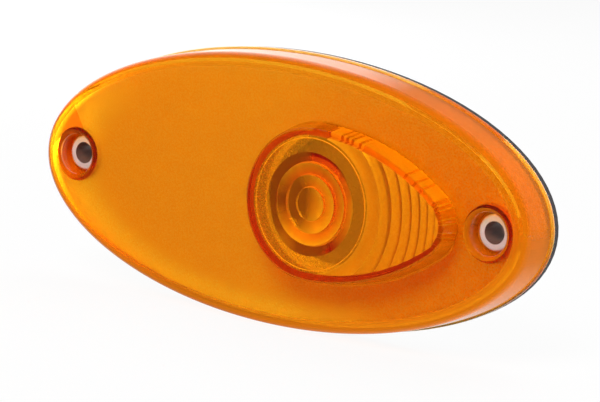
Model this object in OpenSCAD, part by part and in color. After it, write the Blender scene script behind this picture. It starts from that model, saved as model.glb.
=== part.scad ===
// Oval side repeater lamp for screwing flat to a vehicle, with a one-piece amber lens.
// Upright as mounted: X runs along the long axis, the lens faces -Y and +Z is up.
// The origin is the centre of the mounting face, on the back of the gasket.
// Each piece is drawn lying on its back, with heights above the mounting face, and then stood up.

/* [Lens] */
// Length of the lens along its long axis
lens_length = 130; // [126:1:160]
// Height of the lens
lens_height = 59; // [57:1:76]
// From the foot of the skirt to the flat front face
lens_depth = 10.7; // [10.2:0.1:15]
// Thickness of the lens walls
lens_wall = 1.6; // [1.4:0.1:2.2]
// Radius of the rounded rim between front face and skirt
rim_r = 3.0; // [1.6:0.1:3.4]
// How far the skirt leans outwards between rim and foot
skirt_draft = 0.35; // [0:0.05:0.8]
// Height of the flange at the foot of the skirt
foot_h = 0.9; // [0.5:0.1:1.5]
// How far that flange stands out of the skirt
foot_reach = 0.3; // [0.1:0.1:0.8]

/* [Window] */
// From the lamp's centre to the centre of the window's round end
window_x = 13.7; // [11:0.1:14]
// From the round end of the window's front face to the top and bottom of the lens
window_margin = 13.1; // [12.2:0.1:16]
// Flat strip between the window's tip and the mouth of the right screw well
tip_gap = 0.2; // [0.1:0.1:6]
// Radius of the tip as a share of the round end's radius
tip_share = 0.457; // [0.3:0.001:0.6]
// Rise of the window above the flat front face
window_rise = 5.2; // [3.5:0.1:7]
// How far the flank leans outwards between window and front face
window_lean = 0.7; // [0.4:0.1:1.4]
// Radius of the edge of the window's front face
window_edge_r = 0.8; // [0.4:0.1:1.2]
// Radius of the fillet where the flank meets the front face
window_fillet_r = 0.9; // [0.5:0.1:1.3]
// Thickness of the window's front and flank
window_wall = 1.6; // [1.3:0.1:2]

/* [Lens rings] */
// Radius of the domed lens at the centre of the rings
eye_r = 3.6; // [2.5:0.1:4.5]
// Height of that dome
eye_h = 0.8; // [0.3:0.1:1.2]
// Width of each stepped ring
ring_w = 2.8; // [2:0.05:3.2]
// Depth of the innermost ring's step
ring_h = 1.1; // [0.5:0.1:1.2]
// Width of the first arc-shaped flute, beside the rings' flat surround
flute_w = 3.3; // [2.4:0.1:4]
// Width of each further flute as a share of the one before
flute_shrink = 0.9; // [0.8:0.01:1]
// Height of the rounded flutes
flute_h = 0.5; // [0.2:0.1:0.9]

/* [Screw wells] */
// From the centre of a screw hole to the end of the lens
hole_inset = 9.5; // [9.2:0.1:12]
// Radius of the well that takes the screw head
well_r = 4.6; // [4.3:0.1:5.2]
// Radius of the well's rounded mouth
well_mouth_r = 1.2; // [0.6:0.1:1.5]
// Depth of the well from the front face to its floor
well_depth = 4.3; // [3:0.1:5]
// Thickness of the wall round the well
well_wall = 1.5; // [1.2:0.1:2]
// Thickness of the well's floor
well_floor = 1.6; // [1.2:0.1:2]

/* [Sleeves] */
// Outer radius of the spacer sleeves
sleeve_r = 3.95; // [3.5:0.05:4.2]
// Radius of the bore for the mounting screw
bore_r = 2.4; // [1.6:0.1:2.6]
// How far a sleeve stands above the floor of its well
sleeve_proud = 0.9; // [0.3:0.1:2]
// Radius of the sleeve's front edge
sleeve_edge_r = 0.6; // [0.2:0.1:0.8]
// How far a sleeve stays short of the mounting face, for the foam to be squeezed
sleeve_short = 0.4; // [0.1:0.1:0.8]
// Thickness of the sealing ring round each sleeve
seal_t = 1.0; // [0.8:0.1:1.4]

/* [Base] */
// Thickness of the base's floor
floor_t = 1.6; // [1.2:0.1:2.2]
// Height of the wall round the base, from its back
base_rim_h = 2.5; // [2.3:0.1:3.5]
// Thickness of that wall
base_rim_t = 1.5; // [1.2:0.1:2]
// Share of the spare height inside the lamp that goes to the posts under the circuit board
post_share = 0.39; // [0.25:0.01:0.5]
// Radius of those posts
post_r = 2.4; // [1.9:0.1:2.8]
// Width of the stiffening ribs on the floor
rib_t = 1.2; // [0.8:0.1:2]
// Height of the stiffening ribs
rib_h = 1.2; // [0.6:0.1:1.8]
// Number of stiffening ribs
rib_count = 4; // [2:1:5]
// Width of the sealing bead between base and skirt
bead_w = 1.2; // [0.8:0.1:1.6]
// Height of the sealing bead
bead_h = 0.9; // [0.6:0.1:1.2]

/* [Gasket and grommet] */
// Thickness of the foam gasket
gasket_t = 1.6; // [1.2:0.1:3]
// How far the gasket stays inside the foot of the lens
gasket_inset = 0.1; // [0:0.05:0.6]
// Width of the gasket's band along the edge
gasket_band = 8; // [6:0.5:10]
// Width of the foam between a screw hole and the opening in the middle of the gasket
gasket_web = 7.5; // [6:0.5:13]
// Gap between the circuit board's left end and the collar of the cable grommet
outlet_gap = 6.6; // [4:0.1:9]
// Radius of the cable outlet through the grommet
outlet_r = 3.0; // [2:0.1:3.5]
// Wall thickness of the grommet
grommet_wall = 2; // [1.5:0.1:2.5]
// Reach and thickness of the grommet's inner collar
collar_t = 1.4; // [1:0.1:1.8]

/* [Reflector tray] */
// Thickness of the tray's walls
tray_t = 1.2; // [0.9:0.1:1.5]
// Share of the spare height between the tray's deck and the back of the lens's front face
deck_share = 0.42; // [0.25:0.01:0.5]
// Gap between the tray's side and the lens skirt
tray_gap = 0.5; // [0.3:0.1:1]
// How far the light chamber's wall leans in between deck and circuit board
chamber_lean = 0.8; // [0:0.1:1.2]

/* [Circuit] */
// Thickness of the circuit board
board_t = 1.6; // [1:0.1:1.6]
// Gap between the board's right end and the boss of the right screw well
board_gap = 2.4; // [1:0.1:4]
// From the board's long edges to the top and bottom of the lens
board_margin = 13; // [12:0.1:13.5]
// Width of the board's strip beside the light chamber, where its components lie
board_strip = 12.9; // [12.5:0.1:14]
// Side of the square light source
led_side = 5; // [3:0.1:5]
// Height of the light source's body
led_h = 1; // [0.6:0.1:1.2]
// Radius of the clear dome on the light source
dome_r = 1.9; // [1:0.1:2]

/* [Hidden] */

// Clearance of a sliding fit, and the smaller one of a snug fit
fit_gap = 0.12;
snug_gap = 0.03;
// How deep one form is sunk into another so that both make one piece
sink = 0.4;
// Number of points round the oval, and on each arc of the window's outline
oval_points = 96;
end_points = 26;
side_points = 12;
tip_points = 14;
// Steps of a rounded edge, and facets of the round pieces
edge_steps = 4;
$fn = 48;

// Depths of the rings' steps as shares of the innermost one, and the narrowest flute
ring_shares = [1, 1.45, 1.14];
flute_min_w = 1.2;

// Length, width and height of each component's body and tabs
resistor = [3.2, 1.6, 0.6];
capacitor = [3.2, 2.5, 1.6];
driver = [4.5, 2.5, 1.5];
driver_tab = [6.1, 1.7, 0.4];
blocking = [2.7, 1.6, 1.1];
blocking_tab = [3.6, 0.9, 0.3];
surge = [4.3, 2.6, 1.5];
surge_tab = [5.2, 1.5, 0.3];

// What the lamp's depth leaves beside its walls, board and tallest component, shared out between
// the posts below the board, the space over that component and the gap above the tray's deck
spare_h = lens_depth - lens_wall - tray_t - capacitor.z - board_t - floor_t;
post_h = post_share * spare_h;
deck_gap = deck_share * spare_h;

// Heights above the mounting face
foot_z = gasket_t;
plate_z = foot_z + lens_depth;
plate_back_z = plate_z - lens_wall;
window_z = plate_z + window_rise;
window_back_z = window_z - window_wall;
rim_z = plate_z - rim_r;
floor_z = foot_z + floor_t;
base_rim_z = foot_z + base_rim_h;
board_z = floor_z + post_h;
board_top_z = board_z + board_t;
deck_z = plate_back_z - deck_gap;
well_floor_z = plate_z - well_depth;
well_back_z = well_floor_z - well_floor;
sleeve_z = well_floor_z + sleeve_proud;
seal_z = well_back_z - seal_t / 2;
boss_z = well_back_z - seal_t;

// Places and radii that follow from the driving sizes
hole_x = lens_length / 2 - hole_inset;
well_outer_r = well_r + well_wall;
mouth_r = well_r + well_mouth_r;
window_r = lens_height / 2 - window_margin;
window_reach = hole_x - mouth_r - tip_gap - window_lean - window_fillet_r - window_x;
rings_r = eye_r + len(ring_shares) * ring_w;
chamber_r = window_r - window_wall;
grommet_r = outlet_r + grommet_wall;
collar_r = grommet_r + collar_t;
board_left = window_x - window_r + window_wall - board_strip;
board_right = hole_x - well_outer_r - board_gap;
board_height = lens_height - 2 * board_margin;
outlet_x = board_left - outlet_gap - collar_r;
gasket_open_x = hole_x - sleeve_r - gasket_web;

// Screws of the circuit board, and how far its posts stand in from its edges
post_inset = 3.2;
board_corner_r = 3;
screw_r = 1.1;
screw_head_r = 2.0;
screw_head_h = 1.2;
slot_w = 0.5;

// Wire posts: radius, radius and height of the head, height above the board, spacing, inset
wire_post_r = 0.6;
wire_post_head_r = 1.0;
wire_post_head_h = 0.4;
wire_post_h = 1.2;
wire_post_gap = 6;
wire_post_inset = 2;

// The components lie in rows across the board's strip, resistors on the left of each row
row_count = 4;
row_inset = 7;
resistor_inset = 5.4;
component_inset = 9.9;
row_pitch = (board_height - 2 * row_inset) / (row_count - 1);
resistor_x = board_left + resistor_inset;
component_x = board_left + component_inset;

// Point of the oval at angle a, moved outwards by reach
function oval_point(a, reach) =
    let (hl = lens_length / 2, hh = lens_height / 2, n = norm([hh * cos(a), hl * sin(a)]))
    [hl * cos(a) + reach * hh * cos(a) / n, hh * sin(a) + reach * hl * sin(a) / n];

function oval(reach) = [for (i = [0 : oval_points - 1]) oval_point(360 * i / oval_points, reach)];

// The window's outline: a round end, two long sides and a rounded tip, all of them arcs.
// The sides touch both the round end and the tip, which fixes their radius.
tip_r = tip_share * window_r;
tip_x = window_reach - tip_r;
window_side_r = (pow(window_r, 2) + pow(tip_x, 2) - pow(tip_r, 2)) / (2 * (window_r - tip_r));
side_drop = window_side_r - window_r;
tip_a = atan2(side_drop, tip_x);

function arc_points(centre, r, from, to, count) =
    [for (i = [0 : count - 1]) centre + r * [cos(from + (to - from) * i / count),
        sin(from + (to - from) * i / count)]];

function window_outline(reach) = concat(
    arc_points([window_x, 0], window_r + reach, 90, 270, end_points),
    arc_points([window_x, side_drop], window_side_r + reach, 270, 360 - tip_a, side_points),
    arc_points([window_x + tip_x, 0], tip_r + reach, -tip_a, tip_a, tip_points),
    arc_points([window_x, -side_drop], window_side_r + reach, tip_a, 90, side_points));

// Solid through a stack of outlines that all have the same number of points
module loft(outlines, heights) {
    n = len(outlines[0]);
    last = len(outlines) - 1;
    points = [for (k = [0 : last]) for (p = outlines[k]) [p.x, p.y, heights[k]]];
    sides = [for (k = [0 : last - 1]) for (i = [0 : n - 1])
        [k * n + i, (k + 1) * n + i, (k + 1) * n + (i + 1) % n, k * n + (i + 1) % n]];
    bottom = [for (i = [0 : n - 1]) i];
    top = [for (i = [n - 1 : -1 : 0]) last * n + i];
    polyhedron(points = points, faces = concat([bottom], sides, [top]), convexity = 6);
}

// Stands a piece up that was drawn lying on its back
module upright() {
    rotate([90, 0, 0]) children();
}

// Plate with the oval's outline between two heights
module oval_plate(reach, from, to) {
    translate([0, 0, from]) linear_extrude(to - from) polygon(oval(reach));
}

// Plate with the window's outline between two heights
module window_plate(reach, from, to) {
    translate([0, 0, from]) linear_extrude(to - from) polygon(window_outline(reach));
}

// Round bar between two heights
module bar(x, r, from, to) {
    translate([x, 0, from]) cylinder(r = r, h = to - from);
}

// Puts a piece at each of the two screw holes
module at_holes() {
    for (side = [-1, 1]) translate([side * hole_x, 0, 0]) children();
}

// Outside of the lens without its window: foot flange, leaning skirt and rounded rim
module lens_outside() {
    steps = [for (i = [0 : edge_steps]) 90 * i / edge_steps];
    foot_top_reach = skirt_draft * (rim_z - foot_z - foot_h) / (rim_z - foot_z);
    reaches = concat([skirt_draft + foot_reach, foot_top_reach + foot_reach, foot_top_reach],
        [for (a = steps) rim_r * (cos(a) - 1)]);
    heights = concat([foot_z, foot_z + foot_h, foot_z + foot_h],
        [for (a = steps) rim_z + rim_r * sin(a)]);
    loft([for (reach = reaches) oval(reach)], heights);
}

// Outside of the raised window: fillet at the front face, leaning flank and rounded edge
module window_outside() {
    steps = [for (i = [0 : edge_steps]) 90 * i / edge_steps];
    lean_top = window_lean * window_edge_r / window_rise;
    reaches = concat([window_lean + window_fillet_r],
        [for (a = steps) window_lean + window_fillet_r * (1 - sin(a))],
        [for (a = steps) lean_top + window_edge_r * (cos(a) - 1)]);
    heights = concat([plate_z - sink],
        [for (a = steps) plate_z - snug_gap + window_fillet_r * (1 - cos(a))],
        [for (a = steps) window_z + window_edge_r * (sin(a) - 1)]);
    loft([for (reach = reaches) window_outline(reach)], heights);
}

// Hollow of the lens behind the front face and behind the window
module lens_inside() {
    loft([oval(skirt_draft - lens_wall), oval(-lens_wall), oval(-lens_wall)],
        [foot_z, rim_z, plate_back_z]);
    loft([window_outline(window_lean - window_wall), window_outline(-window_wall)],
        [plate_back_z - sink, window_back_z]);
}

// Outline of steps between the given radii, deepest at their inner side and thinning outwards
function steps_outline(edges, depths) = [for (k = [0 : len(edges) - 2])
    each [[edges[k], window_back_z - depths[k]], [edges[k + 1], window_back_z]]];

// Radii of the rings' edges, and those of the flutes, which get narrower towards the tip
ring_edges = [for (k = [0 : len(ring_shares)]) eye_r + k * ring_w];

function flute_edges(r, width) = r > window_reach ? [r]
    : concat([r], flute_edges(r + width, max(width * flute_shrink, flute_min_w)));

// Outline of rounded flutes between the given radii
function flutes_outline(edges) = [for (k = [0 : len(edges) - 2]) for (i = [1 : edge_steps])
    let (share = i / edge_steps, r = edges[k] + share * (edges[k + 1] - edges[k]))
        [r, window_back_z - 4 * flute_h * share * (1 - share)]];

// Domed eye with the stepped rings round it
module lens_rings() {
    dome = [for (i = [0 : edge_steps]) let (r = eye_r * i / edge_steps)
        [r, window_back_z - eye_h * (1 - pow(r / eye_r, 2))]];
    rotate_extrude() polygon(concat([[0, window_back_z + sink]], dome,
        steps_outline(ring_edges, ring_h * ring_shares), [[rings_r, window_back_z + sink]]));
}

// Arc-shaped flutes from the rings' surround to the tip, with their ends sunk into the flank
module arc_flutes() {
    edges = flute_edges(chamber_r, flute_w);
    outer_r = max(edges);
    intersection() {
        rotate_extrude() polygon(concat([[chamber_r, window_back_z + sink], [chamber_r, window_back_z]],
            flutes_outline(edges), [[outer_r, window_back_z + sink]]));
        translate([-window_x, 0, 0])
            window_plate(-window_wall / 2, window_back_z - 2 * flute_h, window_z - window_wall / 2);
        translate([flute_w, -outer_r, window_back_z - 2 * flute_h])
            cube([outer_r, 2 * outer_r, window_rise]);
    }
}

// Space of a screw well: the hole for the sleeve, the well itself and its rounded mouth
module well_space() {
    rotate_extrude() {
        translate([0, well_back_z - sink]) square([sleeve_r + fit_gap, well_depth]);
        translate([0, well_floor_z]) square([well_r, well_depth + sink]);
        difference() {
            translate([0, plate_z - well_mouth_r]) square([mouth_r, well_mouth_r + sink]);
            translate([mouth_r, plate_z - well_mouth_r + fit_gap]) circle(r = well_mouth_r);
        }
    }
}

module lens() {
    color([0.95, 0.5, 0.05, 0.75]) upright() difference() {
        union() {
            difference() {
                union() {
                    lens_outside();
                    window_outside();
                }
                lens_inside();
            }
            translate([window_x, 0, 0]) {
                lens_rings();
                arc_flutes();
            }
            at_holes() bar(0, well_outer_r, well_back_z, plate_z - lens_wall / 2);
        }
        at_holes() well_space();
    }
}

// Pale moulded back with a low wall, seats for the sleeves and posts for the circuit board
module base() {
    edge = -lens_wall - fit_gap;
    color([0.86, 0.85, 0.82]) upright() difference() {
        union() {
            oval_plate(edge - bead_w, foot_z, floor_z);
            difference() {
                oval_plate(edge, foot_z + bead_h, base_rim_z);
                oval_plate(edge - base_rim_t, floor_z, base_rim_z + sink);
            }
            at_holes() bar(0, well_outer_r, floor_z - sink, boss_z);
            bar(outlet_x, collar_r + rib_t, floor_z - sink, floor_z + rib_h);
            board_posts() cylinder(r = post_r, h = post_h + sink);
            floor_ribs();
        }
        at_holes() bar(0, sleeve_r + fit_gap, foot_z - sink, boss_z + sink);
        bar(outlet_x, grommet_r + snug_gap, foot_z - sink, floor_z + rib_h + sink);
        bar(outlet_x, collar_r + fit_gap, floor_z, floor_z + rib_h + sink);
        board_screw_places() translate([0, 0, -sink])
            cylinder(r = screw_r + snug_gap, h = 3 * sink + post_h);
    }
}

// The four places where the board rests on the base
module board_posts() {
    for (x = [board_left + post_inset, board_right - post_inset]) for (side = [-1, 1])
        translate([x, side * (board_height / 2 - post_inset), floor_z - sink]) children();
}

// The two of those places that hold a screw, in opposite corners
module board_screw_places() {
    for (end = [-1, 1])
        translate([(board_left + board_right + end * (board_right - board_left)) / 2 - end * post_inset,
            end * (board_height / 2 - post_inset), floor_z]) children();
}

// Low ribs across the free part of the floor, beside the cable outlet
module floor_ribs() {
    rib_from = -hole_x + well_outer_r + 2 * rib_t;
    rib_to = board_left - 2 * rib_t;
    rib_step = (rib_to - rib_from) / (rib_count - 1);
    difference() {
        intersection() {
            for (i = [0 : rib_count - 1])
                translate([rib_from + i * rib_step - rib_t / 2, -lens_height / 2, floor_z - sink])
                    cube([rib_t, lens_height, rib_h + sink]);
            oval_plate(-lens_wall - base_rim_t, floor_z - sink, base_rim_z);
        }
        bar(outlet_x, collar_r + rib_t / 2, floor_z, floor_z + rib_h + sink);
    }
}

// Foam between lamp and vehicle, open in the middle behind the base
module gasket() {
    color([0.25, 0.25, 0.27]) upright() difference() {
        oval_plate(skirt_draft + foot_reach - gasket_inset, 0, gasket_t);
        intersection() {
            oval_plate(-gasket_band, -sink, gasket_t + sink);
            translate([-gasket_open_x, -lens_height / 2, -sink])
                cube([2 * gasket_open_x, lens_height, gasket_t + 2 * sink]);
        }
        at_holes() bar(0, sleeve_r + fit_gap, -sink, gasket_t + sink);
    }
}

// Clear flexible bead that seals the base into the skirt
module sealing_bead() {
    bead_reach = skirt_draft * (rim_z - foot_z - bead_h) / (rim_z - foot_z) - lens_wall - snug_gap;
    color([0.9, 0.89, 0.86]) upright() difference() {
        oval_plate(bead_reach, foot_z, foot_z + bead_h);
        oval_plate(-lens_wall - fit_gap - bead_w, foot_z - sink, foot_z + bead_h + sink);
    }
}

// White tray behind the front face, with a round light chamber below the rings
module reflector_tray() {
    side = -lens_wall - tray_gap;
    color([0.93, 0.93, 0.9]) upright() difference() {
        union() {
            difference() {
                oval_plate(side, base_rim_z, deck_z);
                oval_plate(side - tray_t, base_rim_z - sink, deck_z - tray_t);
            }
            chamber_cone(tray_t, board_top_z + fit_gap, deck_z - tray_t / 2);
        }
        chamber_cone(0, board_top_z - sink, deck_z + sink);
        at_holes() bar(0, well_outer_r + fit_gap, board_top_z, deck_z + sink);
    }
}

// Round body of the light chamber between two heights, moved outwards by reach
module chamber_cone(reach, from, to) {
    translate([window_x, 0, from])
        cylinder(r1 = chamber_r + reach - chamber_lean, r2 = chamber_r + reach, h = to - from);
}

// White spacer sleeve that takes the clamping force of the mounting screw
module sleeve(side) {
    color([0.93, 0.9, 0.88]) upright() translate([side * hole_x, 0, 0])
        rotate_extrude() difference() {
            union() {
                translate([bore_r, sleeve_short])
                    square([sleeve_r - bore_r, sleeve_z - sleeve_edge_r - sleeve_short]);
                translate([bore_r, sleeve_short])
                    square([sleeve_r - sleeve_edge_r - bore_r, sleeve_z - sleeve_short]);
                translate([sleeve_r - sleeve_edge_r, sleeve_z - sleeve_edge_r])
                    circle(r = sleeve_edge_r);
            }
            square([bore_r, sleeve_z]);
        }
}

// Silicone ring round a sleeve, between the base and the floor of the screw well
module sleeve_seal(side) {
    section_r = seal_t / 2 - snug_gap;
    color([0.9, 0.89, 0.86]) upright()
        translate([side * hole_x, 0, seal_z]) rotate_extrude()
            translate([sleeve_r + snug_gap + section_r, 0]) circle(r = section_r);
}

// Rubber bush for the cable, with a collar on the inside of the base
module cable_grommet() {
    color([0.15, 0.15, 0.15]) upright() translate([outlet_x, 0, 0]) difference() {
        union() {
            bar(0, grommet_r, sleeve_short, floor_z + collar_t);
            bar(0, collar_r, floor_z, floor_z + collar_t);
        }
        bar(0, outlet_r, 0, floor_z + collar_t + sink);
    }
}

// Board with rounded corners, drilled for its screws and for the posts of the wires
module circuit_board() {
    color([0.12, 0.13, 0.12]) upright() difference() {
        translate([board_left, -board_height / 2, board_z]) linear_extrude(board_t)
            rounded_rectangle(board_right - board_left, board_height, board_corner_r);
        board_screw_places() cylinder(r = screw_r + snug_gap, h = post_h + board_t + sink);
        wire_post_places() translate([0, 0, -board_t - sink])
            cylinder(r = wire_post_r + snug_gap, h = board_t + 2 * sink);
    }
}

module rounded_rectangle(length, height, r) {
    for (x = [r, length - r]) for (y = [r, height - r]) translate([x, y]) circle(r = r);
    translate([r, 0]) square([length - 2 * r, height]);
    translate([0, r]) square([length, height - 2 * r]);
}

// Round-headed screws that hold the board to two of its posts
module board_screws() {
    color([0.7, 0.7, 0.72]) upright() board_screw_places() {
        cylinder(r = screw_r, h = post_h + board_t + sink);
        translate([0, 0, post_h + board_t]) difference() {
            cylinder(r = screw_head_r, h = screw_head_h);
            translate([-screw_head_r, -slot_w / 2, screw_head_h / 2])
                cube([2 * screw_head_r, slot_w, screw_head_h]);
        }
    }
}

// Square body of the light source, under the centre of the lens rings
module led_body() {
    color([0.9, 0.88, 0.8]) upright() translate([window_x, 0, board_top_z]) difference() {
        translate([-led_side / 2, -led_side / 2, 0]) cube([led_side, led_side, led_h]);
        translate([0, 0, led_h / 2]) cylinder(r = dome_r + snug_gap, h = led_h);
    }
}

// Clear dome set into that body
module led_dome() {
    color([0.95, 0.85, 0.4, 0.8]) upright()
        translate([window_x, 0, board_top_z + led_h / 2]) {
            cylinder(r = dome_r, h = led_h / 2);
            translate([0, 0, led_h / 2]) intersection() {
                sphere(r = dome_r);
                cylinder(r = 2 * dome_r, h = dome_r);
            }
        }
}

// Block of a component, lying on the board in one of its rows
module chip(size, x, row) {
    y = ((row_count - 1) / 2 - row) * row_pitch;
    translate([x - size.x / 2, y - size.y / 2, board_top_z]) cube(size);
}

// Series resistors, one in each row
module resistor_bank() {
    color([0.16, 0.16, 0.17]) upright()
        for (row = [0 : row_count - 1]) chip(resistor, resistor_x, row);
}

// Transistor that steadies the current, with a wide cooling tab
module driver_chip() {
    color([0.14, 0.14, 0.15]) upright() {
        chip(driver, component_x, 0);
        chip(driver_tab, component_x, 0);
    }
}

// Ceramic capacitor across the supply
module buffer_capacitor() {
    color([0.72, 0.6, 0.42]) upright() chip(capacitor, component_x, 1);
}

// Diode against wrong polarity
module blocking_diode() {
    color([0.14, 0.14, 0.15]) upright() {
        chip(blocking, component_x, 2);
        chip(blocking_tab, component_x, 2);
    }
}

// Diode that clips voltage peaks
module surge_diode() {
    color([0.14, 0.14, 0.15]) upright() {
        chip(surge, component_x, 3);
        chip(surge_tab, component_x, 3);
    }
}

// The two places where the cores of the cable are soldered
module wire_post_places() {
    for (side = [-1, 1])
        translate([board_left + wire_post_inset, side * wire_post_gap / 2, board_top_z]) children();
}

// Tinned posts for the two cores
module wire_posts() {
    color([0.75, 0.75, 0.72]) upright() wire_post_places() {
        translate([0, 0, -board_t]) cylinder(r = wire_post_r, h = board_t + wire_post_h);
        cylinder(r = wire_post_head_r, h = wire_post_head_h);
    }
}

lens();
base();
gasket();
sealing_bead();
reflector_tray();
sleeve(-1);  // sleeve_left
sleeve(1);  // sleeve_right
sleeve_seal(-1);  // sleeve_seal_left
sleeve_seal(1);  // sleeve_seal_right
cable_grommet();
circuit_board();
board_screws();
led_body();
led_dome();
resistor_bank();
driver_chip();
blocking_diode();
surge_diode();
buffer_capacitor();
wire_posts();
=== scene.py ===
# %% [markdown]
# # An amber side repeater lamp
# The lamp is an oval of transparent amber plastic, screwed flat to the side of a vehicle.
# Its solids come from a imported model, which this file loads and dresses.
# Almost everything that the eye sees here is light bent by one clear moulding, so the lens is
# rebuilt as a fine mesh, and the plain pieces behind it keep their solids and get materials.

# %% Load the frame
import math

import bmesh
import bpy
from mathutils import Matrix, Vector


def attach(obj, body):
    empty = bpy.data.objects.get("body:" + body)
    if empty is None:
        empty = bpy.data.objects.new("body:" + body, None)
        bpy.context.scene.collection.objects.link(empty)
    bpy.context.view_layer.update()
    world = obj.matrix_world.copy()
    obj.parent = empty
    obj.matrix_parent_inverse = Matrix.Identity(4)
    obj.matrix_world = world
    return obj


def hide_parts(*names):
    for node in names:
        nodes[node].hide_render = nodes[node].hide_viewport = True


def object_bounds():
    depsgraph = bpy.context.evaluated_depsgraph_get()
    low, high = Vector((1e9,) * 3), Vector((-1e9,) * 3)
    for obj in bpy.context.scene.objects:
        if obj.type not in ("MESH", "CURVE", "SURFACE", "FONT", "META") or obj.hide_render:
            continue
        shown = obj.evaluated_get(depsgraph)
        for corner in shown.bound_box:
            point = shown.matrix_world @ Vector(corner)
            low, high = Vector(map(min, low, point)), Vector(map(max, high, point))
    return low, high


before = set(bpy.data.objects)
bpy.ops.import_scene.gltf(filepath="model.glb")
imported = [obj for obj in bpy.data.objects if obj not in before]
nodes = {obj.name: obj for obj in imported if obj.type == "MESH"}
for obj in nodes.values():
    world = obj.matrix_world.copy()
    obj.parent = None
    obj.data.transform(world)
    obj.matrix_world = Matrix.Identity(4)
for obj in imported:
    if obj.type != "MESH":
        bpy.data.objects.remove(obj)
frame_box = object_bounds()
print("nodes:", len(nodes), "box:", [[round(v, 4) for v in corner] for corner in frame_box])

# %% [markdown]
# ## The camera
# The lamp is seen from its right and a little from above, with a long lens and a slight tilt.
# The angles were found by matching the oval's outline, its back edge and both screw wells.
# Turning them into one rotation matrix keeps the tilt exact, which aiming at a point would lose.

# %% Camera
MM = 0.001
YAW = math.radians(35.2549)
PITCH = math.radians(10.0089)
ROLL = math.radians(4.1401)
AWAY = Vector((-5.95, -2.0, 630.5)) * MM
OUTLINE_DEPTH = 11.3 * MM
LENS_MM = 174.264
SENSOR_MM = 36

stand = Matrix(((1, 0, 0), (0, 0, -1), (0, 1, 0)))
turn = Matrix.Rotation(ROLL, 3, "Z") @ Matrix.Rotation(PITCH, 3, "X") @ Matrix.Rotation(YAW, 3, "Y")
to_camera = turn @ stand
flip = Matrix(((1, 0, 0), (0, -1, 0), (0, 0, -1)))
camera_at = -(to_camera.transposed() @ AWAY) - Vector((0, OUTLINE_DEPTH, 0))
camera_data = bpy.data.cameras.new("camera")
camera_data.lens = LENS_MM
camera_data.sensor_width = SENSOR_MM
camera = bpy.data.objects.new("camera", camera_data)
camera.matrix_world = Matrix.Translation(camera_at) @ (flip @ to_camera).transposed().to_4x4()
bpy.context.scene.collection.objects.link(camera)
bpy.context.scene.camera = camera
print("camera at", [round(v, 3) for v in camera_at])

# %% [markdown]
# ## Short ways to write nodes
# Materials, the world and the floor are all node trees, and most of their nodes do plain sums.
# A few helpers that return a socket let such a tree be read like a formula. Clicking the same
# nodes together by hand works as well, but a script would then need a line for each link.

# %% Helpers for nodes
def plug(tree, socket, value):
    """Links an output into a socket, or writes a plain value on it."""
    if isinstance(value, bpy.types.NodeSocket):
        tree.links.new(value, socket)
    else:
        socket.default_value = value


def add_node(tree, kind, **sockets):
    """A shader node with some sockets linked or set. In a socket's name, _ stands for a space."""
    node = tree.nodes.new("ShaderNode" + kind)
    for name, value in sockets.items():
        plug(tree, node.inputs[name.replace("_", " ")], value)
    return node


def calculate(tree, operation, *values):
    """The result of one sum on numbers."""
    node = tree.nodes.new("ShaderNodeMath")
    node.operation = operation
    for socket, value in zip(node.inputs, values):
        plug(tree, socket, value)
    return node.outputs[0]


print("short ways for links and sums: plug, add_node, calculate")

# %% Helpers for ranges and colours
def remap(tree, value, before, after, curve="LINEAR"):
    """A number moved from one range into another, and held at its ends."""
    node = tree.nodes.new("ShaderNodeMapRange")
    node.interpolation_type = curve
    for socket, number in zip(node.inputs, (value, *before, *after)):
        plug(tree, socket, number)
    return node.outputs[0]


def mix_colours(tree, share, first, second):
    """The first colour, with a share of the second. A Mix node has its colours at 6 and 7."""
    node = tree.nodes.new("ShaderNodeMix")
    node.data_type = "RGBA"
    for index, value in ((0, share), (6, first), (7, second)):
        plug(tree, node.inputs[index], value)
    return node.outputs[2]


print("short ways for ranges and colours: remap, mix_colours")

# %% [markdown]
# ## The room
# The picture shows the lamp on plain white, yet its flat face mirrors nothing pale, as in a dark
# room with a white floor. A white room would put a milky veil on the plastic. So the world is
# white only to rays that come straight from the camera or through the plastic. Mirrored rays
# see it bright behind the lamp and on the left, dimmer on the right, and dark in front.

# %% World
WHITE = (1, 1, 1, 1)
BEHIND = (-0.1, 0.7)
BEHIND_LEVELS = (0.005, 0.9)
LEFT = (-0.5, -0.4)
LEFT_LEVELS = (1.0, 0.2)
ABOVE = (0.25, 0.5)
ABOVE_LEVELS = (1.0, 0.95)
MIRROR_GAIN = 1.6

world = bpy.data.worlds.new("studio")
bpy.context.scene.world = world
world.use_nodes = True
sky = world.node_tree
sky_ray = add_node(sky, "LightPath").outputs
aim = add_node(sky, "SeparateXYZ", Vector=add_node(sky, "TexCoord").outputs["Generated"]).outputs
behind = remap(sky, aim["Y"], BEHIND, BEHIND_LEVELS, "SMOOTHSTEP")
on_left = remap(sky, aim["X"], LEFT, LEFT_LEVELS)
overhead = remap(sky, aim["Z"], ABOVE, ABOVE_LEVELS)
room_light = calculate(sky, "MULTIPLY", behind, calculate(sky, "MULTIPLY", on_left, overhead))
mirror_gain = remap(sky, sky_ray["Is Glossy Ray"], (0, 1), (1.0, MIRROR_GAIN))
mirrored_sky = calculate(sky, "MULTIPLY", room_light, mirror_gain)
plainly_seen = calculate(sky, "MAXIMUM", sky_ray["Is Camera Ray"], sky_ray["Is Transmission Ray"])
sky_tone = mix_colours(sky, plainly_seen, mirrored_sky, WHITE)
plug(sky, sky.nodes["Background"].inputs["Color"], sky_tone)
print("world nodes:", len(sky.nodes))

# %% [markdown]
# ## The floor
# The white floor has to look white, keep the lamp's soft shadow and light its lower edge, but
# it must not be mirrored in the flat face. Lighting it until it is white would burn out the
# plastic. So the paper glows a little for the camera, for rays through the plastic and for
# light that bounces, and mirrored rays see it pale only behind the lamp, fading to the right.

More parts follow.
